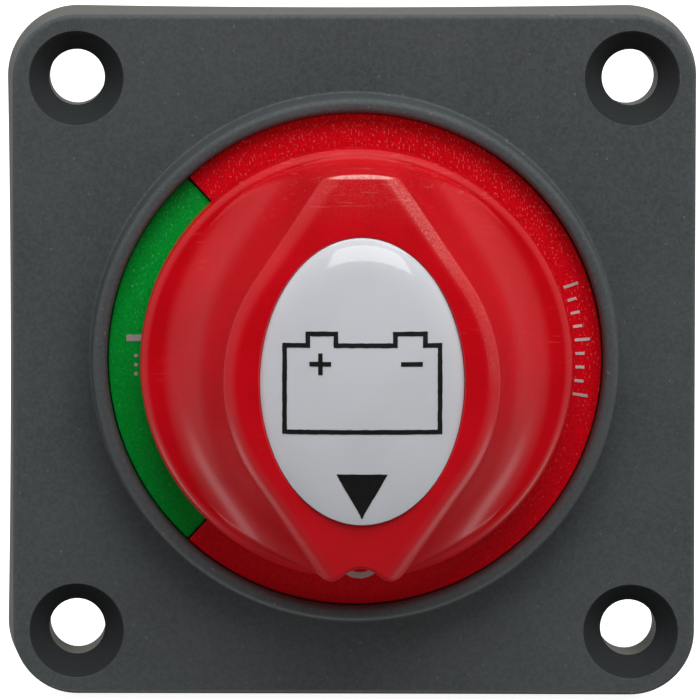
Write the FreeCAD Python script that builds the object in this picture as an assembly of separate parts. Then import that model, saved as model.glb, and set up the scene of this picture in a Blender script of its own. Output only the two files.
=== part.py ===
import FreeCAD, Part
import math
import os
from FreeCAD import Vector

# Panel-mount rotary battery switch, in millimetres.
#
# Modelling frame: x to the right, y up, z out of the panel towards the user. z = 0 is the panel
# plane, where the back of the flange rests, and the z axis is the knob's axis. export() turns each
# finished piece so that the front faces -Y and +Z is up. The switch is modelled in its OFF position.

# ---------------------------------------------------------------- driving dimensions
# Front plate
FLANGE_BACK = 69.5        # side of the square at the panel
FLANGE_FRONT = 68.2       # side of the square at the front face
FLANGE_BOW = 0.25         # how far the back edges pull in at mid-side
FLANGE_T = 6.4            # thickness, and so the height of the front face
FLANGE_CORNER_R = 6.4     # corner radius at the front face
FLANGE_EDGE_R = 0.8       # rounding of the front edge
HOLE_PITCH = 55.5         # square pattern of the mounting screws
HOLE_R = 2.8
SINK_R = 4.75             # countersink at the front face
SINK_DEPTH = 2.5
COLLAR_R = 25.8           # outer radius at the rim
COLLAR_FOOT_R = 26.0
COLLAR_INNER_R = 24.45
COLLAR_TOP = 11.2
COLLAR_LIP_R = 0.65       # rounding of the collar's rim
DIAL_SEAT = 8.0           # height of the floor inside the collar
BORE_R = 9.0              # bearing bore for the rotor's neck
POCKET_R = 18.0           # room for the rotor's flange
POCKET_TOP = 3.0
SPIGOT_R = 24.9
SPIGOT_DEPTH = 3.0
SEAL_GROOVE_R = 23.4
SEAL_GROOVE_Z = (-2.3, -0.7)
BLIND_TOP = 5.5           # top of the blind holes bored from behind
PRESS = 0.02              # radial allowance on driven-in pins and thread-forming screws
GASKET_R = (29.1, 31.7)
GASKET_T = 1.15
GASKET_SIDE = 0.1         # room each side of the gasket in its groove

# Dial
DIAL_OUT_R = 24.35
DIAL_IN_R = 11.5
RED_T = 1.2
GREEN_T = 0.8
GREEN_HALF_ANGLE = 47.7   # degrees each side of 9 o'clock
DIAL_GAP = 0.1            # joint between the red and green pieces
MARK_T = 0.05
I_MARK = (-22.7, -19.4, 1.7, 2.35)      # x from, x to, y from, y to
DOT_R = 0.2
DOT_PLACES = ((-21.75, 0.25), (-21.75, -0.65), (-21.75, -1.55))
O_MARK = (0.5, -20.05)    # centre
O_HALF = (1.95, 1.75)     # half-width and half-height of its outer edge
TICKS, TICK_STEP, TICK_START = 9, 3.5, -9.0
TICK_R, TICK_W = 21.9, 0.28
TICK_LONG, TICK_SHORT = 1.5, 0.9
MARK_STROKE = 0.55

# Knob
KNOB_R = 21.3
KNOB_BASE = 9.6           # underside, just clear of the dial
SKIRT_TOP = 14.0
SKIRT_EDGE_R = 1.0
KNOB_TOP = 27.3
CROWN_R = 94.0            # lengthwise crown of the top face
HANDLE_HALF_W = 13.2
HANDLE_SIDE_R = 17.0      # plan radius of the handle's bulged sides
HANDLE_END_X = 3.5        # half-width of the truncated end
HANDLE_END_Y = 19.4
END_R_LOW = 20.3          # end walls lean in from this radius at the skirt ...
END_R_HIGH = 19.5         # ... to this one at the top
SCOOP_W = 6.3             # run-out of the hollow flank at its foot
NOTCH_R = 3.0             # sight notch at the pointer end
NOTCH_APEX_Y = 17.85
LABEL_A = 9.65            # half-width of the oval label
LABEL_B = 13.65           # half-length
LABEL_GAP = 0.2
LABEL_SEAT = 25.4
LABEL_DOME = 0.6          # how far the label stands proud of the crown
LABEL_SIDE_R = 75.0       # crosswise dome of the label
STROKE = 0.44             # line width of the battery pictogram
BATTERY = (7.6, -4.85, 3.85)            # half-width, bottom and top of the case
POSTS = ((-5.4, -2.3), (2.9, 6.2))      # x from and to
POST_TOP = 4.95
SIGN_X, SIGN_Y, SIGN_ARM = (-4.0, 4.7), 1.85, 1.03
POINTER = (2.45, -8.7, -13.0)           # half-width, base and tip
KNOB_BORE_R = 4.6         # counterbore under the label
KNOB_BORE_FLOOR = 21.0
KNOB_HOLE_R = 2.2
KNOB_HOLLOW_R = (10.5, 16.0)
KNOB_ROOF = 1.5           # skirt thickness left over the hollow
KNOB_WASHER_T = 0.8
KNOB_SCREW_R = 2.0
KNOB_SCREW_END = 7.0
KNOB_SCREW_HEAD = (3.9, 2.8)            # radius, height

# Rotor, carrier and contacts
NECK_R = 8.95
ROTOR_TOP = 9.5           # shoulder under the knob
ROTOR_GROOVE_R = 7.5
ROTOR_GROOVE_Z = (5.0, 6.8)
ROTOR_FLANGE_R = 16.9
ROTOR_FLANGE_Z = (-1.0, 2.5)
DRIVE_R = 8.0             # double-D drive head
DRIVE_FLAT = 6.2
DRIVE_TOP = 18.0
RAMP_R = (9.5, 14.5)
RAMP_START = 15.0         # degrees
RAMP_SPAN = 120.0
LUG_SPAN = 30.0
RAMP_HIGH = -1.8          # height of the ramp's shallow end
TRAVEL = 3.0              # contact travel over the quarter turn
THROW = 90.0              # degrees
RAMP_GAP = 0.05
STOP_PIN_R = 1.0
STOP_PIN_AT = 16.0
STOP_PIN_ANGLE = 135.0
CARRIER_R = 15.0
CARRIER_Z = (-9.0, -6.0)
HUB_R = 4.0
HUB_END = -19.4
BAR_Z = (-17.45, -14.45)
BAR_HALF = (19.5, 7.0)
TIP_R = 4.0
TIP_T = 1.0
KEY_HALF_W = 3.0          # the carrier's two guide keys
KEY_REACH = (14.0, 20.6)
CHEEK_HALF_W = 5.0        # cheeks that keep the bridge from turning
CHEEK_T = 2.0
CHEEK_END = -16.5
SPRING_BORE = (2.6, -11.0)              # radius and top of the hub's bore
CLIP_GROOVE_R = 3.3
RETURN_COIL = (1.9, 0.35, -26.45, -11.05, 8)    # mean radius, wire radius, ends, turns
BRIDGE_COIL = (5.2, 0.5, 3)                     # mean radius, wire radius, turns

# Rear housing and terminals
DRUM_R = 27.5
DRUM_WALL = 2.5
DRUM_END = -30.0
REAR_WALL_TOP = -25.5
SCREW_CIRCLE = 21.3       # four housing screws at 45 degrees
SCREW_R = 1.5
SCREW_HEAD_R = 3.0
HEAD_SINK = 2.5           # depth of the screw heads' counterbores
BOSS_R = 3.2
RIB_T = 2.0               # ribs that guide the carrier's keys
RIB_REACH = (17.5, 26.0)
STUD_X = 13.0
STUD_R = 5.0              # M10 major radius
STUD_PITCH_R = 4.5        # under the nut the stud is drawn at its pitch radius
STUD_END = -48.7
HEAD_AF = 14.0
HEAD_Z = (-27.5, -22.5)
STUD_SEAL = (5.75, 0.66)  # ring radius, cord radius
STUD_SEAL_POCKET = (6.6, 1.4)           # radius, depth
WASHER_T = 2.0
SPRING_WASHER_T = 2.2
NUT_T = 8.0
NUT_AF = 17.0
BARRIER = (1.5, 21.0, -41.0)   # half-width, half-length, end

CLEAR = 0.05              # standing clearance between neighbouring pieces

os.makedirs("parts", exist_ok=True)


# ---------------------------------------------------------------- shape helpers
def cyl(r, z0, z1, x=0.0, y=0.0):
    return Part.makeCylinder(r, z1 - z0, Vector(x, y, z0))


def ring(r_out, r_in, z0, z1, x=0.0, y=0.0):
    return cyl(r_out, z0, z1, x, y).cut(cyl(r_in, z0 - 1, z1 + 1, x, y))


def box(x0, x1, y0, y1, z0, z1):
    return Part.makeBox(x1 - x0, y1 - y0, z1 - z0, Vector(x0, y0, z0))


def torus(major, minor, z, x=0.0, y=0.0):
    return Part.makeTorus(major, minor, Vector(x, y, z), Vector(0, 0, 1))


def prism(points, z0, z1):
    """A straight prism over a polygon given as (x, y) points."""
    corners = [Vector(x, y, z0) for x, y in points]
    face = Part.Face(Part.makePolygon(corners + corners[:1]))
    return face.extrude(Vector(0, 0, z1 - z0))


def hexagon(across_flats, z0, z1, x=0.0, y=0.0):
    r = across_flats / math.sqrt(3.0)
    angles = [math.radians(60 * i) for i in range(6)]
    return prism([(x + r * math.cos(a), y + r * math.sin(a)) for a in angles], z0, z1)


def oval(a, b, z0, z1):
    """An upright elliptical prism, a along x and b along y."""
    ends = (Vector(0, b, z0), Vector(a, 0, z0))
    ellipse = Part.Ellipse(*(ends if b > a else ends[::-1]), Vector(0, 0, z0))
    return Part.Face(Part.Wire(ellipse.toShape())).extrude(Vector(0, 0, z1 - z0))


def turned(profile):
    """A body of revolution about z from closed (r, z) points."""
    points = [Vector(r, 0, z) for r, z in profile]
    face = Part.Face(Part.makePolygon(points + points[:1]))
    return face.revolve(Vector(0, 0, 0), Vector(0, 0, 1), 360)


def polar(r, degrees):
    a = math.radians(degrees)
    return r * math.cos(a), r * math.sin(a)


def sector(r_out, r_in, z0, z1, start, span):
    """Part of a ring, from the angle start and span degrees wide."""
    pie = Part.makeCylinder(r_out, z1 - z0, Vector(0, 0, z0), Vector(0, 0, 1), span)
    pie.rotate(Vector(0, 0, 0), Vector(0, 0, 1), start)
    return pie.cut(cyl(r_in, z0 - 1, z1 + 1))


def ramp(r_in, r_out, flat_z, start, span, height, step=10.0):
    """A ring sector with one flat end, whose other end is the helical surface height(turned degrees)."""
    sections = []
    for i in range(int(round(span / step)) + 1):
        (xi, yi), (xo, yo) = polar(r_in, start + i * step), polar(r_out, start + i * step)
        z = height(i * step)
        corners = [Vector(xi, yi, flat_z), Vector(xo, yo, flat_z), Vector(xo, yo, z), Vector(xi, yi, z)]
        sections.append(Part.makePolygon(corners + corners[:1]))
    return Part.makeLoft(sections, True, False)


def coil(mean_r, wire_r, z0, z1, turns):
    """A helical spring whose wire stays between z0 and z1."""
    height = z1 - z0 - 2 * wire_r
    path = Part.Wire(Part.makeHelix(height / turns, height, mean_r))
    section = Part.Wire(Part.makeCircle(wire_r, Vector(mean_r, 0, 0), Vector(0, 1, 0)))
    spring = path.makePipeShell([section], True, True)
    spring.translate(Vector(0, 0, z0 + wire_r))
    return spring


def double_d(r, flat, z0, z1):
    return cyl(r, z0, z1).common(box(-flat, flat, -r - 1, r + 1, z0, z1))


def mirrored(shape):
    """The shape and its copy half a turn about z."""
    other = shape.copy()
    other.rotate(Vector(0, 0, 0), Vector(0, 0, 1), 180)
    return [shape, other]


def export(name, *solids):
    """Write one node, turned into the row frame: (x, y, z) goes to (x, -z, y)."""
    shape = solids[0] if len(solids) == 1 else Part.makeCompound(list(solids))
    shape = shape.copy()
    shape.rotate(Vector(0, 0, 0), Vector(1, 0, 0), 90)
    shape.exportStep(os.path.join("parts", name + ".step"))


def screw_places():
    return [polar(SCREW_CIRCLE, a) for a in (45, 135, 225, 315)]


# ---------------------------------------------------------------- front plate and dial
def square_wire(side, corner_r, z, bow):
    """A square with round corners, whose sides pull in by bow at their middles."""
    h = side / 2
    edges = []
    for quarter in range(4):
        turn = math.radians(90 * quarter)

        def at(x, y):
            c, s = math.cos(turn), math.sin(turn)
            return Vector(x * c - y * s, x * s + y * c, z)

        low, high = at(h, corner_r - h), at(h, h - corner_r)
        if bow:
            edges.append(Part.Arc(low, at(h - bow, 0), high).toShape())
        else:
            edges.append(Part.LineSegment(low, high).toShape())
        k = corner_r * math.sqrt(0.5)
        centre = h - corner_r
        edges.append(Part.Arc(high, at(centre + k, centre + k), at(centre, h)).toShape())
    return Part.Wire(edges)


def flange():
    corner_back = FLANGE_CORNER_R + (FLANGE_BACK - FLANGE_FRONT) / 2
    back = square_wire(FLANGE_BACK, corner_back, 0, FLANGE_BOW)
    front = square_wire(FLANGE_FRONT, FLANGE_CORNER_R, FLANGE_T, 0)
    slab = Part.makeLoft([back, front], True, True)
    rim = [e for e in slab.Edges if min(v.Z for v in e.Vertexes) > FLANGE_T - 0.01]
    return slab.makeFillet(FLANGE_EDGE_R, rim)


def front_plate():
    body = flange()
    collar = turned([
        (0.0, 1.0), (COLLAR_FOOT_R, 1.0), (COLLAR_FOOT_R, FLANGE_T),
        (COLLAR_R, COLLAR_TOP), (0.0, COLLAR_TOP),
    ]).cut(cyl(COLLAR_INNER_R, DIAL_SEAT, COLLAR_TOP + 1))
    lip = [e for e in collar.Edges if min(v.Z for v in e.Vertexes) > COLLAR_TOP - 0.01]
    body = body.fuse(collar.makeFillet(COLLAR_LIP_R, lip))
    body = body.fuse(cyl(SPIGOT_R, -SPIGOT_DEPTH, 1.0))
    body = body.cut(cyl(POCKET_R, -SPIGOT_DEPTH - 1, POCKET_TOP))
    body = body.cut(cyl(BORE_R, 0, COLLAR_TOP))
    # countersunk mounting holes
    p = HOLE_PITCH / 2
    cone = Part.makeCone(HOLE_R, SINK_R, SINK_DEPTH, Vector(0, 0, FLANGE_T - SINK_DEPTH))
    for x, y in ((p, p), (-p, p), (-p, -p), (p, -p)):
        body = body.cut(cyl(HOLE_R, -1, FLANGE_T + 1, x, y))
        sink = cone.copy()
        sink.translate(Vector(x, y, 0))
        body = body.cut(sink)
    # blind holes for the housing screws and the stop pin
    for x, y in screw_places():
        body = body.cut(cyl(SCREW_R + PRESS, -SPIGOT_DEPTH - 1, BLIND_TOP, x, y))
    x, y = polar(STOP_PIN_AT, STOP_PIN_ANGLE)
    body = body.cut(cyl(STOP_PIN_R + PRESS, 0, BLIND_TOP, x, y))
    # grooves for the panel gasket and the housing seal
    inner, outer = GASKET_R
    body = body.cut(ring(outer + GASKET_SIDE, inner - GASKET_SIDE, -1, GASKET_T + CLEAR))
    return body.cut(ring(SPIGOT_R + 1, SEAL_GROOVE_R, *SEAL_GROOVE_Z)).removeSplitter()


def dial_pieces():
    red_top, green_top = DIAL_SEAT + RED_T, DIAL_SEAT + GREEN_T
    gap = math.degrees(DIAL_GAP / DIAL_OUT_R)
    start = 180 + GREEN_HALF_ANGLE
    red = sector(DIAL_OUT_R, DIAL_IN_R, DIAL_SEAT, red_top, start, 360 - 2 * GREEN_HALF_ANGLE)
    green = sector(
        DIAL_OUT_R, DIAL_IN_R, DIAL_SEAT, green_top,
        180 - GREEN_HALF_ANGLE + gap, 2 * (GREEN_HALF_ANGLE - gap),
    )
    return red, green, red_top, green_top


def dial_marks(red_top, green_top):
    """I and O position marks, three dots by the I, and a row of plain ticks at the right."""
    green_marks = (green_top, green_top + MARK_T)
    red_marks = (red_top, red_top + MARK_T)
    marks = [box(*I_MARK, *green_marks)]
    marks += [cyl(DOT_R, *green_marks, x, y) for x, y in DOT_PLACES]
    a, b = O_HALF
    o_mark = oval(a, b, *red_marks).cut(oval(a - MARK_STROKE, b - MARK_STROKE, *red_marks))
    o_mark.translate(Vector(*O_MARK, 0))
    marks.append(o_mark)
    for i in range(TICKS):
        length = TICK_LONG if i % 4 == 0 else TICK_SHORT
        tick = box(TICK_R, TICK_R + length, -TICK_W / 2, TICK_W / 2, *red_marks)
        tick.rotate(Vector(0, 0, 0), Vector(0, 0, 1), TICK_START + TICK_STEP * i)
        marks.append(tick)
    return marks


# ---------------------------------------------------------------- knob
def handle_wire(z, spread, end_y):
    """The handle's plan outline at height z, moved outwards by spread: bulged sides, straight runs
    tangent to them, and a straight cut across each end."""
    cx = HANDLE_HALF_W - HANDLE_SIDE_R
    far = math.hypot(HANDLE_END_X - cx, HANDLE_END_Y)
    lean = math.atan2(HANDLE_END_Y, HANDLE_END_X - cx) - math.acos(HANDLE_SIDE_R / far)
    r = HANDLE_SIDE_R + spread
    tangent = (cx + r * math.cos(lean), r * math.sin(lean))
    end_x = tangent[0] - (end_y - tangent[1]) * math.tan(lean)
    edges = []
    for side in (1, -1):
        low, mid, high = [Vector(side * x, side * y, z) for x, y in
                          ((tangent[0], -tangent[1]), (cx + r, 0), tangent)]
        corner = Vector(side * end_x, side * end_y, z)
        over = Vector(-side * end_x, side * end_y, z)
        nxt = Vector(-side * tangent[0], side * tangent[1], z)
        edges += [
            Part.Arc(low, mid, high).toShape(),
            Part.LineSegment(high, corner).toShape(),
            Part.LineSegment(corner, over).toShape(),
            Part.LineSegment(over, nxt).toShape(),
        ]
    return Part.Wire(edges)


def crown(height, r_long, r_across=None):
    """Everything under a crown that is highest at the centre: a cylinder lying along x, and one
    lying along y if r_across is given."""
    under = Part.makeCylinder(r_long, 80, Vector(-40, 0, height - r_long), Vector(1, 0, 0))
    if r_across:
        side = Part.makeCylinder(r_across, 80, Vector(0, -40, height - r_across), Vector(0, 1, 0))
        under = under.common(side)
    return under


def knob():
    rise = KNOB_TOP - SKIRT_TOP
    sections = []
    for share in (1.0, 0.985, 0.95, 0.88, 0.78, 0.62, 0.42, 0.2, 0.0):
        spread = SCOOP_W * (1 - math.sqrt(1 - share * share))
        sections.append(handle_wire(KNOB_TOP - rise * share, spread, KNOB_R))
    flanks = Part.makeLoft(sections, True, True)
    ends = Part.makeCone(END_R_LOW, END_R_HIGH, rise, Vector(0, 0, SKIRT_TOP))
    handle = flanks.common(ends).common(crown(KNOB_TOP, CROWN_R))
    skirt = cyl(KNOB_R, KNOB_BASE, SKIRT_TOP)
    edge = [e for e in skirt.Edges if e.Vertexes[0].Z > SKIRT_TOP - 0.01 and len(e.Vertexes) == 1]
    body = skirt.makeFillet(SKIRT_EDGE_R, edge[:1]).fuse(handle)
    # sight notch, from the pointer end to the skirt's edge
    apex = NOTCH_APEX_Y + NOTCH_R
    notch = cyl(NOTCH_R, KNOB_BASE - 1, KNOB_TOP + 1, 0, -apex)
    notch = notch.fuse(box(-NOTCH_R, NOTCH_R, -KNOB_R - 1, -apex, KNOB_BASE - 1, KNOB_TOP + 1))
    body = body.cut(notch)
    # label seat, screw counterbore and hole, drive socket, and the hollow underside
    body = body.cut(oval(LABEL_A + LABEL_GAP, LABEL_B + LABEL_GAP, LABEL_SEAT, KNOB_TOP + 1))
    body = body.cut(cyl(KNOB_BORE_R, KNOB_BORE_FLOOR, LABEL_SEAT + 1))
    body = body.cut(cyl(KNOB_HOLE_R, KNOB_BASE, LABEL_SEAT))
    body = body.cut(double_d(DRIVE_R + CLEAR, DRIVE_FLAT + CLEAR, KNOB_BASE - 1, DRIVE_TOP + CLEAR))
    inner, outer = KNOB_HOLLOW_R
    return body.cut(ring(outer, inner, KNOB_BASE - 1, SKIRT_TOP - KNOB_ROOF)).removeSplitter()


def label():
    body = oval(LABEL_A, LABEL_B, LABEL_SEAT + CLEAR, KNOB_TOP + 1)
    return body.common(crown(KNOB_TOP + LABEL_DOME, CROWN_R, LABEL_SIDE_R))


def battery_outline(inset):
    """The battery symbol's outline with its two posts, as points, drawn in by inset."""
    half, low, high = BATTERY
    points = [(-half + inset, low + inset), (half - inset, low + inset), (half - inset, high - inset)]
    for left, right in reversed(POSTS):
        points += [(right - inset, high - inset), (right - inset, POST_TOP - inset),
                   (left + inset, POST_TOP - inset), (left + inset, high - inset)]
    return points + [(-half + inset, high - inset)]


def label_print(under):
    """Battery outline, plus, minus and a pointer triangle, as a thin skin on the label."""
    z0, z1 = LABEL_SEAT + 0.5, KNOB_TOP + 2
    half = STROKE / 2
    battery = prism(battery_outline(0), z0, z1).cut(prism(battery_outline(STROKE), z0 - 1, z1 + 1))
    plus_x, minus_x = SIGN_X
    plus = box(plus_x - SIGN_ARM, plus_x + SIGN_ARM, SIGN_Y - half, SIGN_Y + half, z0, z1)
    plus = plus.fuse(box(plus_x - half, plus_x + half, SIGN_Y - SIGN_ARM, SIGN_Y + SIGN_ARM, z0, z1))
    minus = box(minus_x - SIGN_ARM, minus_x + SIGN_ARM, SIGN_Y - half, SIGN_Y + half, z0, z1)
    width, base, tip = POINTER
    pointer = prism([(-width, base), (width, base), (0, tip)], z0, z1)
    skin = crown(KNOB_TOP + LABEL_DOME + MARK_T, CROWN_R, LABEL_SIDE_R)
    shapes = []
    for figure in (battery, plus.removeSplitter(), minus, pointer):
        shapes += figure.common(skin).cut(under).Solids
    return shapes


def cross_recess(r, z0, z1, x=0.0, y=0.0):
    w = r / 4
    return box(x - r, x + r, y - w, y + w, z0, z1).fuse(box(x - w, x + w, y - r, y + r, z0, z1))


def knob_screw():
    radius, height = KNOB_SCREW_HEAD
    seat = KNOB_BORE_FLOOR + KNOB_WASHER_T
    head = cyl(radius, seat, seat + height).cut(cross_recess(2.2, seat + 1.2, seat + height + 1))
    return head.fuse(cyl(KNOB_SCREW_R, KNOB_SCREW_END, seat)).removeSplitter()


# ---------------------------------------------------------------- rotor and carrier
def ramp_height(degrees):
    return RAMP_HIGH - TRAVEL * degrees / THROW


def rotor():
    low, high = ROTOR_FLANGE_Z
    body = cyl(ROTOR_FLANGE_R, low, high).fuse(cyl(NECK_R, high, ROTOR_TOP))
    body = body.fuse(double_d(DRIVE_R, DRIVE_FLAT, ROTOR_TOP, DRIVE_TOP))
    body = body.cut(cyl(KNOB_SCREW_R + PRESS, KNOB_SCREW_END - 1, DRIVE_TOP + 1))
    body = body.cut(ring(NECK_R + 1, ROTOR_GROOVE_R, *ROTOR_GROOVE_Z))
    # slot for the stop pin: it runs a quarter turn past the pin
    margin = math.degrees(math.asin(STOP_PIN_R / STOP_PIN_AT)) + 0.2
    body = body.cut(sector(
        ROTOR_FLANGE_R + 1, STOP_PIN_AT - STOP_PIN_R - 0.1, low - 1, high + 1,
        STOP_PIN_ANGLE - margin, THROW + 2 * margin,
    ))
    for way in mirrored(ramp(*RAMP_R, low + 0.5, RAMP_START, RAMP_SPAN, ramp_height)):
        body = body.fuse(way)
    return body


def carrier():
    low, high = CARRIER_Z
    body = cyl(CARRIER_R, low, high).fuse(cyl(HUB_R, HUB_END, low))
    for side in (1, -1):
        keys = sorted(side * reach for reach in KEY_REACH)
        cheeks = sorted((side * (BAR_HALF[1] + CLEAR), side * (BAR_HALF[1] + CHEEK_T)))
        body = body.fuse(box(-KEY_HALF_W, KEY_HALF_W, *keys, low, high))
        body = body.fuse(box(-CHEEK_HALF_W, CHEEK_HALF_W, *cheeks, CHEEK_END, low))
    lug = ramp(*RAMP_R, high - 0.5, RAMP_START, LUG_SPAN, lambda a: ramp_height(a) - RAMP_GAP, 5.0)
    for way in mirrored(lug):
        body = body.fuse(way)
    bore_r, bore_top = SPRING_BORE
    body = body.cut(cyl(bore_r, HUB_END - 1, bore_top))
    return body.cut(ring(HUB_R + 1, CLIP_GROOVE_R, BAR_Z[0] - 1.0, BAR_Z[0] - CLEAR))


def contact_bridge():
    x, y = BAR_HALF
    bar = box(-x + y, x - y, -y, y, *BAR_Z)
    for side in (1, -1):
        bar = bar.fuse(cyl(y, *BAR_Z, side * (x - y), 0))
    return bar.cut(cyl(HUB_R + 0.1, -25, 0)).removeSplitter()


def bridge_clip():
    """Open retaining ring in the hub's groove, under the bridge."""
    z1 = BAR_Z[0] - 0.1
    clip = ring(6.0, CLIP_GROOVE_R + CLEAR, z1 - 0.85, z1)
    return clip.cut(box(-2.4, 2.4, 0, 8, -25, 0))


# ---------------------------------------------------------------- rear housing and terminals
def rear_housing():
    rear = Part.makeCone(DRUM_R - 1.0, DRUM_R, 1.0, Vector(0, 0, DRUM_END))
    body = rear.fuse(cyl(DRUM_R, DRUM_END + 1.0, 0))
    body = body.cut(cyl(DRUM_R - DRUM_WALL, REAR_WALL_TOP, 1))
    inner = cyl(DRUM_R - DRUM_WALL + 0.3, REAR_WALL_TOP - 1, -SPIGOT_DEPTH - CLEAR)
    rib_x = KEY_HALF_W + CLEAR
    for side in (1, -1):
        for x in (rib_x, -rib_x - RIB_T):
            y0, y1 = sorted(side * reach for reach in RIB_REACH)
            rib = box(x, x + RIB_T, y0, y1, REAR_WALL_TOP - 0.5, -SPIGOT_DEPTH - CLEAR)
            body = body.fuse(rib.common(inner))
    half_w, half_l, end = BARRIER
    body = body.fuse(box(-half_w, half_w, -half_l, half_l, end, DRUM_END + 0.5))
    for x, y in screw_places():
        body = body.fuse(cyl(BOSS_R, REAR_WALL_TOP - 0.5, -SPIGOT_DEPTH - CLEAR, x, y))
        body = body.cut(cyl(SCREW_R + 0.2, DRUM_END - 1, 0, x, y))
        body = body.cut(cyl(SCREW_HEAD_R + 0.2, DRUM_END - 1, DRUM_END + HEAD_SINK, x, y))
    for x in (STUD_X, -STUD_X):
        body = body.cut(cyl(STUD_R + CLEAR, DRUM_END - 1, -20, x, 0))
        body = body.cut(hexagon(HEAD_AF + 2 * CLEAR, HEAD_Z[0], -20, x, 0))
        pocket_r, pocket_depth = STUD_SEAL_POCKET
        body = body.cut(cyl(pocket_r, HEAD_Z[0] - pocket_depth, HEAD_Z[0] + 0.5, x, 0))
    return body.cut(cyl(SPRING_BORE[0], REAR_WALL_TOP - 1, -20)).removeSplitter()


def housing_screws():
    seat = DRUM_END + HEAD_SINK
    screws = []
    for x, y in screw_places():
        head = cyl(SCREW_HEAD_R, DRUM_END + 0.1, seat, x, y)
        head = head.cut(cross_recess(1.8, DRUM_END - 1, DRUM_END + 1.4, x, y))
        screws.append(head.fuse(cyl(SCREW_R, seat, BLIND_TOP - 0.5, x, y)).removeSplitter())
    return screws


def terminal(x):
    """One side's stud: hexagon head, plain shank, pitch-radius length under the nut, free end."""
    washers_end = DRUM_END - WASHER_T - SPRING_WASHER_T
    nut_end = washers_end - NUT_T
    stud = hexagon(HEAD_AF, *HEAD_Z, x, 0)
    stud = stud.fuse(cyl(STUD_R, washers_end, HEAD_Z[0], x, 0))
    stud = stud.fuse(cyl(STUD_PITCH_R, nut_end, washers_end, x, 0))
    stud = stud.fuse(cyl(STUD_R, STUD_END + 1.0, nut_end, x, 0))
    tip = Part.makeCone(STUD_R - 1.0, STUD_R, 1.0, Vector(x, 0, STUD_END))
    return stud.fuse(tip).removeSplitter()


def spring_washer(x):
    top = DRUM_END - WASHER_T
    split = box(x + STUD_R - 1, x + 10, -0.6, 0.6, top - SPRING_WASHER_T - 1, top + 1)
    split.rotate(Vector(x + 7, 0, top - 1), Vector(1, 0, 0), 25)
    return ring(8.6, 5.15, top - SPRING_WASHER_T, top, x, 0).cut(split)


def nut(x):
    top = DRUM_END - WASHER_T - SPRING_WASHER_T
    low = top - NUT_T
    half = NUT_AF / 2
    chamfer = turned([
        (0, low), (half, low), (half + 1.6, low + 0.9), (half + 1.6, top - 0.9), (half, top), (0, top),
    ])
    chamfer.translate(Vector(x, 0, 0))
    body = hexagon(NUT_AF, low, top, x, 0).common(chamfer)
    return body.cut(cyl(STUD_PITCH_R + CLEAR, low - 1, top + 1, x, 0))


# ---------------------------------------------------------------- write every piece
export("front_plate", front_plate())
dial_red, dial_green, dial_red_top, dial_green_top = dial_pieces()
export("dial_red", dial_red)
export("dial_green", dial_green)
export("dial_marks", *dial_marks(dial_red_top, dial_green_top))
export("panel_gasket", ring(GASKET_R[1], GASKET_R[0], 0, GASKET_T))
export("housing_seal", torus(24.2, 0.75, sum(SEAL_GROOVE_Z) / 2))
pin_x, pin_y = polar(STOP_PIN_AT, STOP_PIN_ANGLE)
export("stop_pin", cyl(STOP_PIN_R, -2.0, BLIND_TOP - 0.1, pin_x, pin_y))
export("thrust_washer", ring(14.7, 9.1, 2.53, 2.97))
export("rear_housing", rear_housing())
export("housing_screws", *housing_screws())
export("stud_left", terminal(-STUD_X))
export("stud_right", terminal(STUD_X))
seal_z = HEAD_Z[0] - STUD_SEAL_POCKET[1] / 2
export("stud_seals", *[torus(*STUD_SEAL, seal_z, x) for x in (-STUD_X, STUD_X)])
head_top = HEAD_Z[1]
export("stud_contact_tips", *[cyl(4.5, head_top, head_top + TIP_T, x) for x in (-STUD_X, STUD_X)])
washer_low = DRUM_END - WASHER_T
export("terminal_washers", *[ring(10.0, 5.25, washer_low, DRUM_END, x) for x in (-STUD_X, STUD_X)])
export("terminal_spring_washers", *[spring_washer(x) for x in (-STUD_X, STUD_X)])
export("terminal_nuts", *[nut(x) for x in (-STUD_X, STUD_X)])
export("return_spring", coil(*RETURN_COIL))

export("rotor", rotor())
export("rotor_seal", torus(8.22, 0.7, sum(ROTOR_GROOVE_Z) / 2))
export("knob", knob())
export("knob_washer", ring(4.2, KNOB_HOLE_R, KNOB_BORE_FLOOR, KNOB_BORE_FLOOR + KNOB_WASHER_T))
export("knob_screw", knob_screw())
oval_label = label()
export("knob_label", oval_label)
export("label_print", *label_print(oval_label))

export("contact_carrier", carrier())
coil_r, wire_r, turns = BRIDGE_COIL
export("bridge_spring", coil(coil_r, wire_r, BAR_Z[1] + 0.03, CARRIER_Z[0] - 0.03, turns))
export("bridge_clip", bridge_clip())

export("contact_bridge", contact_bridge())
export("bridge_contact_tips", *[cyl(TIP_R, BAR_Z[0] - TIP_T, BAR_Z[0], x) for x in (-STUD_X, STUD_X)])
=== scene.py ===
import math

import bpy
import numpy as np
from mathutils import Matrix, Vector

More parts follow.
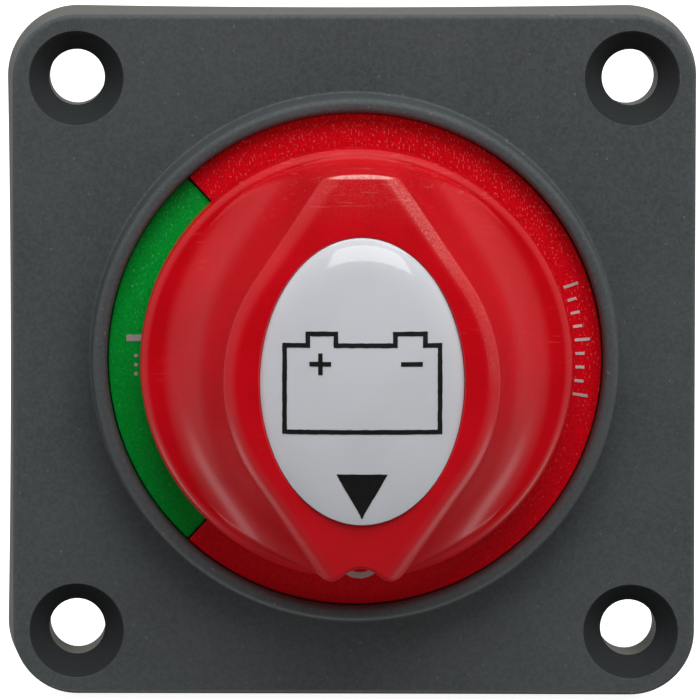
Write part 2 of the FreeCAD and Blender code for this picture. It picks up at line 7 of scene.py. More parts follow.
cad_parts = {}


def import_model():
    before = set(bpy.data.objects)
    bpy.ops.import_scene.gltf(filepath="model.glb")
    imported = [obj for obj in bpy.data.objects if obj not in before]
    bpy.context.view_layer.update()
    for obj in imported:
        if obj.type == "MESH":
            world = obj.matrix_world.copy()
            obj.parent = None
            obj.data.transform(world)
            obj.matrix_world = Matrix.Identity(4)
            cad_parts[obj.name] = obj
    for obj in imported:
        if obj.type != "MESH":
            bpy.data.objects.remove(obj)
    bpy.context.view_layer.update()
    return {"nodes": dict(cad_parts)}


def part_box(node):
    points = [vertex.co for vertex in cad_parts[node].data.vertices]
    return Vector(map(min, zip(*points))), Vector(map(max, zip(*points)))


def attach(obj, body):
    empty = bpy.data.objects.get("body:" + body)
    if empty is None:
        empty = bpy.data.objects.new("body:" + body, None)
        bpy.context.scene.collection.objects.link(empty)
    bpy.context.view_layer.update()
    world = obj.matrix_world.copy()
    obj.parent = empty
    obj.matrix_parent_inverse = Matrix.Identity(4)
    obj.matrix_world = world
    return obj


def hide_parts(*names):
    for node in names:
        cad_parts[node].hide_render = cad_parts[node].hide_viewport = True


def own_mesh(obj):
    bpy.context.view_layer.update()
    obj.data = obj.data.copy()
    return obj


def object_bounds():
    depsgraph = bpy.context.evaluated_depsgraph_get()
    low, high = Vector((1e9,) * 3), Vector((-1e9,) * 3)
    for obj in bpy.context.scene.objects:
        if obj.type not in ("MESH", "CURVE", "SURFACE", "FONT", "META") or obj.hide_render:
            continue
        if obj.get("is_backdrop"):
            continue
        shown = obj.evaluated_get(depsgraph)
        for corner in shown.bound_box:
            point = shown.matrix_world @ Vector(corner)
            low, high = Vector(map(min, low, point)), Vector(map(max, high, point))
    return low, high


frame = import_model()

# Shapes are worked out in millimetres in the switch's own axes: x to the right, y up, z out of the
# panel towards the user, with z = 0 at the panel and the knob turning about z. to_frame() turns
# them into the frame's metres, where the front faces -Y and +Z is up.
MM = 0.001


def span(node):
    """A CAD node's extent in the switch's own axes: (x0, x1), (y0, y1), (z0, z1)."""
    low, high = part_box(node)
    return (low.x / MM, high.x / MM), (low.z / MM, high.z / MM), (-high.y / MM, -low.y / MM)


def to_frame(points):
    points = np.asarray(points, float)
    return np.stack([points[:, 0], -points[:, 2], points[:, 1]], 1) * MM


# ------------------------------ sizes
(plate_x0, plate_x1), _, (spigot_low, collar_top) = span("front_plate")
(_, knob_x1), _, (knob_base, knob_top) = span("knob")
(_, label_a), (_, label_b), (label_floor, label_top) = span("knob_label")
label_a, label_b = label_a + 0.1, label_b + 0.05
(_, dial_r), _, (dial_low, red_top) = span("dial_red")
DIAL_WIDER = 0.15
dial_r += DIAL_WIDER
_, _, (_, green_top) = span("dial_green")
HOLE_PITCH = 55.5

FLANGE_T = 6.4
DRAFT = 0.65              # how far the front edge stands in from the CAD's panel edge, per side
FLARE = 0.79              # how far the panel edge stands out beyond the front edge, per side
BOW = 0.25                # how far the panel edge pulls in at mid-side
FLANGE_HALF = (plate_x1 - plate_x0) / 2 - DRAFT
CORNER_R = 6.4
COLLAR_FOOT_R = 26.25
COLLAR_R = 26.0
COLLAR_IN_R = 24.6
DIAL_SEAT = dial_low
BORE_R = 9.0
GASKET_GROOVE = (29.0, 31.8, 1.2)           # inner and outer radius, and depth
SEAL_GROOVE = (23.4, -2.3, -0.7)            # radius of its floor, and its two heights
POCKET_R, POCKET_TOP = 18.0, 3.0
SPIGOT_R = 24.9
HOLE_R, SINK_R, SINK_DEPTH = 2.8, 4.75, 2.5

KNOB_R = knob_x1
SKIRT_TOP = 14.0
CROWN_R = 94.0

(_, drum_r), _, (barrier_end, drum_front) = span("rear_housing")
(_, screw_x1), (_, screw_y1), (drum_end, _) = span("housing_screws")
(pin_x0, pin_x1), (pin_y0, pin_y1), _ = span("stop_pin")
_, _, (stud_end, head_top) = span("stud_right")
(_, washer_x1), _, (washer_low, washer_top) = span("terminal_washers")
_, (spring_y0, spring_y1), (spring_low, spring_top) = span("terminal_spring_washers")
_, _, (nut_low, nut_top) = span("terminal_nuts")
(_, gasket_r), _, (_, gasket_t) = span("panel_gasket")
(_, return_r), _, return_ends = span("return_spring")
(_, float_r), _, float_ends = span("bridge_spring")

drum_end = round(drum_end, 1) - 0.1
DRUM_WALL, REAR_WALL_TOP = 2.5, -25.5
SCREW_R, SCREW_HEAD_R, HEAD_SINK = 1.5, 3.0, 2.5
BLIND_TOP = 5.5
screw_x, screw_y = screw_x1 - SCREW_HEAD_R, screw_y1 - SCREW_HEAD_R
SCREW_PLACES = [(sx * screw_x, sy * screw_y) for sx in (1, -1) for sy in (1, -1)]
pin_r = (pin_x1 - pin_x0) / 2
pin_at = ((pin_x0 + pin_x1) / 2, (pin_y0 + pin_y1) / 2)
STUD_R, STUD_ROOT_R, STUD_PITCH_R = 5.0, 4.08, 4.5
STUD_X = 13.0
STUD_PLACES = [(STUD_X, 0.0), (-STUD_X, 0.0)]
THREAD = 1.5
HEAD_AF, NUT_AF = 14.0, 17.0
HEAD_LOW = -27.5
STUD_HOLE_R, STUD_SEAL_R, STUD_SEAL_T = 5.05, 6.6, 1.4
BARRIER_T, BARRIER_HALF = 3.0, 21.0
RIB_X, RIB_T, RIB_IN_Y, RIB_OUT_Y = (3.05, -5.05), 2.0, 17.5, 26.0
BOSS_R = 3.2
SPRING_SEAT_R = 2.6


# ------------------------------ mesh tools
def even_turn(count):
    return np.arange(count) * 2 * math.pi / count


def polar_solid(theta, loops, bored=False, at=(0.0, 0.0)):
    """A closed mesh of stacked loops about z. A loop is (radius, height), each one number or one
    value per angle. Bored solids join the last loop to the first; others close on centre points."""
    count = len(theta)
    rows = [np.stack([np.broadcast_to(r, theta.shape) * np.cos(theta) + at[0],
                      np.broadcast_to(r, theta.shape) * np.sin(theta) + at[1],
                      np.broadcast_to(z, theta.shape)], 1) for r, z in loops]
    points = np.concatenate(rows)
    here = np.arange(count)
    after = (here + 1) % count
    faces = []
    for j in range(len(loops) - (0 if bored else 1)):
        low, high = j * count, (j + 1) % len(loops) * count
        faces += np.stack([low + here, low + after, high + after, high + here], 1).tolist()
    if not bored:
        ends = [[at[0], at[1], rows[0][:, 2].mean()], [at[0], at[1], rows[-1][:, 2].mean()]]
        first, last = len(points), len(points) + 1
        top = (len(loops) - 1) * count
        points = np.vstack([points, ends])
        faces += [[first, int(b), int(a)] for a, b in zip(here, after)]
        faces += [[last, int(top + a), int(top + b)] for a, b in zip(here, after)]
    return points, faces


def soft(corners, closed=False, steps=5, hold=0.08):
    """A polyline whose corners (a, b, radius) become arcs, with a close point each side of an arc
    so that flat neighbours stay flat."""
    corners = [tuple(c) + (0.0,) * (3 - len(c)) for c in corners]
    count = len(corners)
    line = []
    for i, (a, b, radius) in enumerate(corners):
        if radius <= 0 or (not closed and i in (0, count - 1)):
            line.append((a, b))
            continue
        here = np.array([a, b])
        back = np.array(corners[i - 1][:2]) - here
        ahead = np.array(corners[(i + 1) % count][:2]) - here
        back, ahead = back / np.linalg.norm(back), ahead / np.linalg.norm(ahead)
        half = math.acos(max(-1.0, min(1.0, float(back @ ahead)))) / 2
        reach = radius / math.tan(half)
        bisector = (back + ahead) / np.linalg.norm(back + ahead)
        centre = here + bisector * radius / math.sin(half)
        start, end = here + back * reach, here + ahead * reach
        from_angle = math.atan2(*(start - centre)[::-1])
        sweep = (math.atan2(*(end - centre)[::-1]) - from_angle + math.pi) % (2 * math.pi) - math.pi
        line.append(tuple(start + back * hold))
        for k in range(steps + 1):
            angle = from_angle + sweep * k / steps
            line.append((centre[0] + radius * math.cos(angle), centre[1] + radius * math.sin(angle)))
        line.append(tuple(end + ahead * hold))
    return line


def merged(shapes):
    points, faces, start = [], [], 0
    for some, polygons in shapes:
        points.append(some)
        faces += [[v + start for v in polygon] for polygon in polygons]
        start += len(some)
    return np.vstack(points), faces


def make_object(name, shape):
    points, faces = shape
    mesh = bpy.data.meshes.new(name)
    mesh.from_pydata(to_frame(points).tolist(), [], faces)
    made = bpy.data.objects.new(name, mesh)
    bpy.context.scene.collection.objects.link(made)
    return made


def carve(target, cutter, operation="DIFFERENCE"):
    """Applies one boolean with a closed cutter, then removes the cutter."""
    modifier = target.modifiers.new("carve", "BOOLEAN")
    modifier.operation = operation
    modifier.solver = "MANIFOLD"
    modifier.object = cutter
    evaluated = target.evaluated_get(bpy.context.evaluated_depsgraph_get())
    result = bpy.data.meshes.new_from_object(evaluated)
    target.modifiers.clear()
    old = target.data
    target.data = result
    bpy.data.meshes.remove(old)
    bpy.data.objects.remove(cutter)


def finish_piece(made, body, material, nodes, sharp=32.0):
    """Shades a piece, ties it to its body, and hides the CAD nodes it stands for."""
    made.data.shade_smooth()
    made.data.set_sharp_from_angle(angle=math.radians(sharp))
    made.data.materials.clear()
    made.data.materials.append(material)
    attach(made, body)
    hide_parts(*nodes)
    return made


# ------------------------------ materials
class Graph:
    """Short calls for building a node tree."""

    def __init__(self, tree):
        self.tree = tree
        tree.nodes.clear()

    def node(self, kind, **settings):
        made = self.tree.nodes.new(kind)
        for key, value in settings.items():
            setattr(made, key, value)
        return made

    def link(self, source, target):
        self.tree.links.new(source, target)

    def set(self, made, key, value):
        if isinstance(value, bpy.types.NodeSocket):
            self.link(value, made.inputs[key])
        else:
            made.inputs[key].default_value = value

    def ramp(self, value, low, high, out_low=0.0, out_high=1.0, kind="SMOOTHSTEP"):
        made = self.node("ShaderNodeMapRange", interpolation_type=kind)
        for key, number in (("From Min", low), ("From Max", high), ("To Min", out_low), ("To Max", out_high)):
            self.set(made, key, number)
        self.set(made, "Value", value)
        return made.outputs["Result"]

    def math(self, operation, a, b=0.0):
        made = self.node("ShaderNodeMath", operation=operation)
        self.set(made, 0, a)
        self.set(made, 1, b)
        return made.outputs[0]

    def times(self, a, b):
        return self.math("MULTIPLY", a, b)

    def plus(self, a, b):
        return self.math("ADD", a, b)

    def band(self, value, low, high, fade):
        """1 between low and high, fading to 0 over fade on both sides."""
        rise = self.ramp(value, low - fade, low)
        return self.times(rise, self.ramp(value, high, high + fade, 1.0, 0.0))

    def along(self, vector, direction):
        made = self.node("ShaderNodeVectorMath", operation="DOT_PRODUCT")
        self.set(made, 0, vector)
        self.set(made, 1, direction)
        return made.outputs["Value"]

    def mix(self, share, a, b):
        made = self.node("ShaderNodeMix", data_type="RGBA")
        self.set(made, "Factor", share)
        self.set(made, 6, a)
        self.set(made, 7, b)
        return made.outputs[2]


class Finish(Graph):
    """A material's tree. Places are in millimetres, and texture scales in features per millimetre."""

    def __init__(self, name):
        self.material = bpy.data.materials.new(name)
        self.material.use_nodes = True
        super().__init__(self.material.node_tree)
        scaled = self.node("ShaderNodeVectorMath", operation="SCALE")
        self.link(self.node("ShaderNodeTexCoord").outputs["Object"], scaled.inputs[0])
        scaled.inputs["Scale"].default_value = 1 / MM
        self.place = scaled.outputs[0]
        axes = self.node("ShaderNodeSeparateXYZ")
        self.link(self.place, axes.inputs[0])
        self.x, self.y = axes.outputs[0], axes.outputs[2]
        self.z = self.times(axes.outputs[1], -1.0)

    def noise(self, scale, detail=2.0, roughness=0.5, stretch=None):
        made = self.node("ShaderNodeTexNoise")
        place = self.place
        if stretch:
            mapping = self.node("ShaderNodeMapping")
            self.link(place, mapping.inputs["Vector"])
            mapping.inputs["Scale"].default_value = stretch
            place = mapping.outputs[0]
        self.link(place, made.inputs["Vector"])
        self.set(made, "Scale", scale)
        self.set(made, "Detail", detail)
        self.set(made, "Roughness", roughness)
        return made.outputs["Fac"]

    def bump(self, height, depth_mm):
        made = self.node("ShaderNodeBump")
        self.set(made, "Height", height)
        self.set(made, "Distance", depth_mm * MM)
        self.set(made, "Strength", 1.0)
        return made.outputs["Normal"]

    def finish(self, colour, roughness, normal=None, **extra):
        shader = self.node("ShaderNodeBsdfPrincipled")
        self.set(shader, "Base Color", colour)
        self.set(shader, "Roughness", roughness)
        if normal is not None:
            self.link(normal, shader.inputs["Normal"])
        for key, value in extra.items():
            self.set(shader, key.replace("_", " "), value)
        self.link(shader.outputs[0], self.node("ShaderNodeOutputMaterial").inputs["Surface"])
        return self.material


def srgb(r, g, b):
    """A colour from its 0 to 255 screen values."""
    def linear(c):
        c = c / 255
        return c / 12.92 if c <= 0.04045 else ((c + 0.055) / 1.055) ** 2.4
    return (linear(r), linear(g), linear(b), 1.0)


def moulded(name, colour, dark, roughness, grain_scale, grain_depth, **extra):
    """Moulded plastic: cloudy colour and an eroded-mould grain."""
    g = Finish(name)
    cloud = g.noise(0.12, 3.0)
    tone = g.mix(g.ramp(cloud, 0.35, 0.65), dark, colour)
    fine = g.noise(grain_scale, 2.0, 0.6)
    rough = g.ramp(fine, 0.3, 0.7, roughness - 0.06, roughness + 0.06)
    return g.finish(tone, rough, g.bump(fine, grain_depth), **extra)


def plate_plastic():
    """Dark grey moulding: fine mottling, pale dust, flange sides and hole walls painted a paler olive as
    painted light, and dull countersinks painted darker as painted shade.
    """
    g = Finish("plate_moulding")
    tone = g.mix(g.ramp(g.noise(0.1, 3.0), 0.35, 0.65), srgb(70, 75, 76), srgb(75, 80, 81))
    fine = g.noise(6.0, 3.0, 0.65)
    tone = g.mix(g.ramp(fine, 0.45, 0.75, 0.0, 0.35), tone, srgb(92, 97, 98))
    tone = g.mix(g.ramp(g.noise(2.6, 2.0, 0.7), 0.36, 0.64, 0.0, 0.3), tone, srgb(98, 104, 108))
    dust = g.ramp(g.noise(2.2, 0.0), 0.80, 0.83, 0.0, 0.3)
    tone = g.mix(dust, tone, srgb(150, 152, 152))
    x_away, y_away = g.math("ABSOLUTE", g.x), g.math("ABSOLUTE", g.y)
    # Painted light: the flange side walls get a paler olive colour that stands in for the light falling on
    # them.
    painted_lit_sides = g.ramp(g.math("MAXIMUM", x_away, y_away), FLANGE_HALF - 1, FLANGE_HALF - 0.9)
    painted_lit_sides = g.times(painted_lit_sides, g.band(g.z, 0.06, FLANGE_T - 0.5, 0.05))
    tone = g.mix(painted_lit_sides, tone, srgb(88, 89, 82))
    dx, dy = [g.math("SUBTRACT", away, HOLE_PITCH / 2) for away in (x_away, y_away)]
    from_hole = g.math("SQRT", g.plus(g.times(dx, dx), g.times(dy, dy)))
    cone_foot = FLANGE_T - SINK_DEPTH
    # Painted shade: the countersink cones get a darker colour that stands in for their shade, and their
    # specular is turned down.
    painted_sink_shade = g.times(g.ramp(from_hole, SINK_R, SINK_R + 0.06, 1.0, 0.0),
                   g.band(g.z, cone_foot + 0.02, FLANGE_T - 0.1, 0.07))
    # Painted light: the bore walls under the countersinks get a paler olive colour that stands in for a lit
    # wall.
    bore = g.times(g.ramp(from_hole, HOLE_R + 0.03, HOLE_R + 0.08, 1.0, 0.0),
                   g.band(g.z, 0.06, cone_foot - 0.05, 0.05))
    tone = g.mix(bore, tone, srgb(102, 103, 93))
    tone = g.mix(painted_sink_shade, tone, srgb(55, 58, 59))
    return g.finish(tone, g.ramp(fine, 0.3, 0.7, 0.46, 0.58), g.bump(fine, 0.012),
                    Specular_IOR_Level=g.math("SUBTRACT", 0.5, g.times(painted_sink_shade, 0.5)))


def dial_plastic(name, colour, dark, painted_glint_colour):
    """Grained dial moulding with painted glints: bright flecks that stand in for light catching the grain,
    growing sparser towards the lower left as painted shade.
    """
    g = Finish(name)
    grain = g.noise(4.5, 1.5, 0.6)
    tone = g.mix(g.ramp(grain, 0.35, 0.6), dark, colour)
    # Painted light: the glints grow denser towards the upper right, where the light falls, and sparser
    # towards the lower left, where shade falls.
    slope = g.plus(g.times(g.x, 0.0014), g.times(g.y, 0.003))
    painted_glints = g.plus(g.noise(5.2, 0.0, stretch=(1.3, 1.0, 0.6)), slope)
    tone = g.mix(g.ramp(painted_glints, 0.73, 0.79, 0.0, 0.55), tone, painted_glint_colour)
    return g.finish(tone, 0.55, g.bump(grain, 0.01), Specular_IOR_Level=0.2)


def knob_plastic():
    """Glossy red moulding, worn pale along the handle's end and right edge, and lightly scratched."""
    g = Finish("knob_moulding")
    cloud = g.ramp(g.noise(0.15, 3.0), 0.35, 0.65)
    tone = g.mix(cloud, srgb(205, 1, 18), srgb(214, 2, 22))
    fine = g.noise(7.0, 2.0, 0.6)
    to_right = g.along(g.node("ShaderNodeNewGeometry").outputs["Normal"], (1.0, 0.0, 0.0))
    patchy = g.ramp(g.noise(3.6, 4.0, 0.75), 0.34, 0.58)
    grain = g.ramp(g.noise(6.0, 3.0, 0.7), 0.42, 0.62)
    on_top = g.ramp(g.z, knob_top - 2.6, knob_top - 2.2)
    end_edge = g.times(g.band(g.y, 19.3, 19.75, 0.12), g.ramp(patchy, 0.0, 1.0, 0.45, 0.9))
    end_haze = g.times(g.band(g.y, 18.9, 19.2, 4.5), g.times(grain, 0.06))
    near_end = g.times(g.band(g.y, 14.0, 18.6, 6.0), g.times(grain, 0.22))
    along = g.times(g.band(g.y, 2.0, 18.5, 3.0), g.times(patchy, 0.07))
    right_side = g.band(to_right, 0.25, 0.7, 0.1)
    right_edge = g.times(right_side, g.plus(near_end, along))
    worn = g.plus(g.plus(end_edge, end_haze), right_edge)
    worn = g.times(worn, on_top)
    hair = g.ramp(g.noise(1.0, 2.0, 0.5, stretch=(0.35, 1.0, 5.0)), 0.62, 0.68)
    region = g.times(g.ramp(g.noise(0.14, 1.0), 0.5, 0.62), g.ramp(g.y, -6.0, 2.0, 0.15, 0.6))
    region = g.math("MAXIMUM", region, g.ramp(g.y, 14.5, 18.0))
    scratch = g.times(g.times(hair, region), 0.1)
    tone = g.mix(g.plus(worn, scratch), tone, srgb(244, 170, 160))
    rough = g.plus(g.ramp(fine, 0.3, 0.7, 0.27, 0.36), g.times(worn, 0.3))
    return g.finish(tone, rough, g.bump(fine, 0.004))


def rubber(name, colour, dark):
    """Dull rubber with a patchy bloom."""
    g = Finish(name)
    bloom = g.ramp(g.noise(0.5, 4.0, 0.65), 0.4, 0.7)
    fine = g.noise(9.0, 2.0)
    return g.finish(g.mix(bloom, dark, colour), 0.72, g.bump(fine, 0.01), Specular_IOR_Level=0.3)


def metal(name, colour, dark, roughness, turned=(1.0, 1.0, 14.0)):
    """Plated metal: fine tool marks that run one way, and faint stains."""
    g = Finish(name)
    stain = g.ramp(g.noise(0.35, 4.0, 0.6), 0.4, 0.7)
    lines = g.noise(2.0, 2.0, 0.5, stretch=turned)
    rough = g.ramp(lines, 0.3, 0.7, roughness - 0.07, roughness + 0.07)
    return g.finish(g.mix(stain, dark, colour), rough, g.bump(lines, 0.004), Metallic=1.0)


PLATE = plate_plastic()
RED = knob_plastic()
# The last colour of each dial is its painted glint colour.
DIAL_RED = dial_plastic("dial_red_moulding", srgb(240, 2, 28), srgb(220, 1, 22), srgb(255, 120, 112))
DIAL_GREEN = dial_plastic("dial_green_moulding", srgb(1, 178, 58), srgb(1, 160, 52), srgb(110, 232, 150))
WHITE = moulded("label_white", srgb(226, 227, 233), srgb(222, 223, 229), 0.075, 1.0, 0.001)
BLACK = moulded("print_black", srgb(22, 22, 24), srgb(18, 18, 19), 0.35, 4.0, 0.004)
INK = moulded("print_white", srgb(225, 215, 210), srgb(190, 176, 172), 0.5, 5.0, 0.01)
HOUSING = moulded("housing_moulding", srgb(58, 61, 63), srgb(50, 53, 55), 0.5, 4.0, 0.02)
GASKET = rubber("seal_rubber", srgb(36, 36, 37), srgb(25, 25, 26))
STEEL = metal("plated_steel", srgb(196, 197, 196), srgb(170, 170, 166), 0.3)
TINNED = metal("tinned_brass", srgb(214, 210, 198), srgb(188, 182, 166), 0.28)
COPPER = metal("contact_copper", srgb(226, 150, 116), srgb(196, 116, 84), 0.32, (1.0, 12.0, 1.0))
SILVER = metal("contact_silver", srgb(232, 230, 226), srgb(206, 202, 194), 0.22, (1.0, 1.0, 1.0))
ACETAL = moulded("acetal_white", srgb(226, 224, 214), srgb(216, 213, 202), 0.38, 3.0, 0.006)
NYLON = moulded("nylon_black", srgb(46, 47, 50), srgb(38, 39, 42), 0.42, 5.0, 0.01)


# ------------------------------ front plate
def square_radius(theta, half, corner, bow):
    """Distance from the centre to a square with round corners and sides that pull in by bow."""
    c, s = np.abs(np.cos(theta)), np.abs(np.sin(theta))
    along, across = np.maximum(c, s), np.minimum(c, s)
    middle = half - corner
    side = across / along * half
    straight = (half - bow * (1 - np.clip(side / middle, 0, 1) ** 2)) / along
    reach = middle * (along + across)
    round_end = reach + np.sqrt(np.maximum(corner ** 2 - 2 * middle ** 2 + reach ** 2, 0))
    return np.where(side <= middle, straight, round_end)


def front_plate():
    """Flange, collar and spigot turned and squared in one loft, then bored."""
    seal_r, seal_z0, seal_z1 = SEAL_GROOVE
    groove_r0, groove_r1, groove_top = GASKET_GROOVE
    theta = even_turn(720)
    loops = []
    for d, z in soft([(-2.5, 0.0), (FLARE, 0.0, 0.25), (0.0, FLANGE_T, 0.55), (-3.0, FLANGE_T)], steps=8):
        loops.append((square_radius(theta, FLANGE_HALF + d, CORNER_R + d, BOW * max(d, 0) / FLARE), z))
    loops += soft([
        (27.5, FLANGE_T), (COLLAR_FOOT_R, FLANGE_T, 0.3), (COLLAR_R, collar_top, 0.65),
        (COLLAR_IN_R, collar_top, 0.6), (COLLAR_IN_R, DIAL_SEAT), (BORE_R, DIAL_SEAT, 0.2),
        (BORE_R, POCKET_TOP), (POCKET_R, POCKET_TOP), (POCKET_R, spigot_low), (SPIGOT_R, spigot_low, 0.2),
        (SPIGOT_R, seal_z0), (seal_r, seal_z0), (seal_r, seal_z1), (SPIGOT_R, seal_z1), (SPIGOT_R, 0.0),
        (groove_r0, 0.0), (groove_r0, groove_top), (groove_r1, groove_top), (groove_r1, 0.0),
    ], steps=8)
    made = make_object("front_plate_shell", polar_solid(theta, loops, bored=True))
    p = HOLE_PITCH / 2
    cone_foot = FLANGE_T - SINK_DEPTH
    rings = 9
    profile = [(HOLE_R, -1.0), (HOLE_R, cone_foot)]
    for i in range(1, rings * 2):
        share = i / (rings * 2)
        ripple = 0.035 if i % 2 else -0.035
        profile.append((HOLE_R + (SINK_R - HOLE_R) * share + ripple, cone_foot + SINK_DEPTH * share))
    profile += [(SINK_R - 0.08, FLANGE_T - 0.12), (SINK_R + 0.04, FLANGE_T + 0.02),
                (SINK_R + 0.05, FLANGE_T + 1)]
    around = even_turn(96)
    shapes = [polar_solid(around, profile, at=(sx * p, sy * p)) for sx in (1, -1) for sy in (1, -1)]
    blind = [(SCREW_R + 0.02, spigot_low - 1), (SCREW_R + 0.02, BLIND_TOP)]
    shapes += [polar_solid(even_turn(32), blind, at=place) for place in SCREW_PLACES]
    pin = [(pin_r + 0.02, POCKET_TOP - 1), (pin_r + 0.02, BLIND_TOP)]
    shapes.append(polar_solid(even_turn(32), pin, at=pin_at))
    carve(made, make_object("cutter", merged(shapes)))
    return made


finish_piece(front_plate(), "housing", PLATE, ["front_plate"])


# ------------------------------ knob
HALF_W, SIDE_R = 13.2, 17.0
END_X, END_Y = 3.5, 19.4
END_R_LOW, END_R_HIGH = 20.3, 19.5
SCOOP_W = 6.3
SHOULDER_OUT, SHOULDER_R = 0.6, 2.2
NOTCH_APEX_Y, NOTCH_SPREAD = -18.1, 1.7
SEAT_GAP = 0.06
SEAT_LIP = 0.14
WELL_R, WELL_FLOOR, SCREW_GAP_R = 4.6, 21.0, 2.2
SOCKET_R, SOCKET_FLAT, SOCKET_TOP = 8.05, 6.25, 18.05
HOLLOW_IN_R, HOLLOW_R, HOLLOW_TOP = 10.5, 16.0, 12.5


def meet(a, b, radius):
    """Intersection of two distance fields whose common edge is rounded."""
    corner = np.hypot(np.maximum(a + radius, 0), np.maximum(b + radius, 0))
    return np.minimum(np.maximum(a, b), -radius) + corner


def join(a, b, radius):
    """Union of two distance fields with a fillet where they meet."""
    corner = np.hypot(np.maximum(radius - a, 0), np.maximum(radius - b, 0))
    return np.maximum(np.minimum(a, b), radius) - corner


def outline_distance(x, y):
    """How far a point lies outside the handle's plan outline of bulged sides with tangent runs."""
    cx = HALF_W - SIDE_R
    far = math.hypot(END_X - cx, END_Y)
    lean = math.atan2(END_Y, END_X - cx) - math.acos(SIDE_R / far)
    outside = np.full_like(x, -1e3)
    for side in (1, -1):
        px, py = side * x - cx, np.abs(y)
        on_arc = np.arctan2(py, px) < lean
        reach = np.where(on_arc, np.hypot(px, py), px * math.cos(lean) + py * math.sin(lean))
        outside = np.maximum(outside, reach - SIDE_R)
    return outside


def crown_height(y):
    return knob_top - CROWN_R + np.sqrt(CROWN_R ** 2 - y ** 2)


def knob_field(x, y, z):
    """Signed distance to the knob's outside: round skirt, hollow-flanked handle, sight notch."""
    rise = knob_top - SKIRT_TOP
    r = np.hypot(x, y)
    share = np.maximum((knob_top - z) / rise, 1e-6)
    run = np.maximum(SCOOP_W - outline_distance(x, y), 0)
    ellipse = np.sqrt((run / SCOOP_W) ** 2 + share ** 2)
    slope = np.sqrt((run / SCOOP_W ** 2) ** 2 + (share / rise) ** 2)
    flank = (1 - ellipse) * ellipse / slope
    end = r - (END_R_LOW + (END_R_HIGH - END_R_LOW) * (z - SKIRT_TOP) / rise)
    top = np.hypot(y, z - (knob_top - CROWN_R)) - CROWN_R
    shoulder = meet(outline_distance(x, y) - SHOULDER_OUT, top, SHOULDER_R)
    shoulder = np.where(top > -SHOULDER_R - 0.8, shoulder, top)
    walls = meet(flank, end, 0.5)
    at_end = np.clip(0.5 + (end - flank) / 1.6, 0, 1)
    handle = meet(walls, shoulder, 0.16 + 0.19 * at_end)
    skirt = meet(r - KNOB_R, z - SKIRT_TOP, 1.0)
    solid = join(handle, skirt, 0.03 + 0.27 * np.exp(-(x / 4.5) ** 4))
    wave = np.hypot(x, NOTCH_SPREAD)
    beyond = (NOTCH_APEX_Y + NOTCH_SPREAD - wave - y) / np.sqrt(1 + (x / wave) ** 2)
    return meet(solid, beyond, 0.4)


def cast(theta, elevation, centre_z):
    """Radius and height where rays from the axis leave the knob."""
    across = np.cos(elevation)
    dx, dy, dz = across * np.cos(theta), across * np.sin(theta), np.sin(elevation)
    reach = np.full(np.broadcast(theta, elevation).shape, 8.0)
    for _ in range(70):
        reach -= 0.8 * knob_field(reach * dx, reach * dy, centre_z + reach * dz)
    return reach * across, centre_z + reach * dz


def oval(theta, a, b):
    return a * b / np.hypot(b * np.cos(theta), a * np.sin(theta))


def graded_turn(count, centres):
    """Angles round a turn, closer together near the given angles (degrees, width, extra density)."""
    fine = np.linspace(0, 360, 7201)
    density = np.ones_like(fine)
    for angle, width, extra in centres:
        away = (fine - angle + 180) % 360 - 180
        density += extra * np.exp(-(away / width) ** 2)
    total = np.concatenate([[0], np.cumsum((density[1:] + density[:-1]) / 2)])
    return np.radians(np.interp(np.arange(count) / count * total[-1], total, fine))


def knob():
    theta = graded_turn(720, [(90, 14, 1.5), (270, 12, 4.0)])
    centre_z = knob_base + 0.9
    seat = oval(theta, label_a + SEAT_GAP / 2, label_b + SEAT_GAP / 2)
    face_r = seat + SEAT_LIP + 0.1
    face_z = crown_height(face_r * np.sin(theta))
    low = math.atan2(-0.6, KNOB_R)
    high = np.arctan2(face_z - centre_z, face_r)
    trial = np.linspace(0, 1, 260)[:, None]
    r, z = cast(theta[None, :], low + (high[None, :] - low) * trial, centre_z)
    dr, dz = np.diff(r, axis=0), np.diff(z, axis=0)
    step = np.hypot(dr, dz)
    heading = np.unwrap(np.arctan2(dz, dr), axis=0)
    turn = np.zeros_like(step)
    turn[1:] = np.abs(np.diff(heading, axis=0))
    weight = step / 0.42 + turn / 0.14 + 0.02
    total = np.vstack([np.zeros(len(theta)), np.cumsum(weight, axis=0)])
    rows = 120
    picked = np.empty((rows, len(theta)))
    for i in range(len(theta)):
        picked[:, i] = np.interp(np.linspace(0, total[-1, i], rows), total[:, i], trial[:, 0])
    r, z = cast(theta[None, :], low + (high[None, :] - low) * picked, centre_z)
    outer = r[0]
    loops = [(outer - 0.2, knob_base), (outer - 0.06, knob_base + 0.06)]
    loops += [(r[j], z[j]) for j in range(rows)]
    for k in range(5):
        angle = math.radians(90 - 90 * k / 4)
        edge_z = crown_height((seat + SEAT_LIP) * np.sin(theta))
        loops.append((seat + SEAT_LIP * (1 - math.cos(angle)), edge_z - SEAT_LIP * (1 - math.sin(angle))))
    floor = label_floor - 0.05
    socket = np.minimum(SOCKET_R, SOCKET_FLAT / np.maximum(np.abs(np.cos(theta)), 1e-6))
    loops += [(seat, floor), (WELL_R, floor), (WELL_R, WELL_FLOOR), (SCREW_GAP_R, WELL_FLOOR),
              (SCREW_GAP_R, SOCKET_TOP), (socket, SOCKET_TOP), (socket, knob_base),
              (HOLLOW_IN_R, knob_base), (HOLLOW_IN_R, HOLLOW_TOP), (HOLLOW_R, HOLLOW_TOP),
              (HOLLOW_R, knob_base)]
    return make_object("knob_grip", polar_solid(theta, loops, bored=True))


finish_piece(knob(), "rotor", RED, ["knob"])


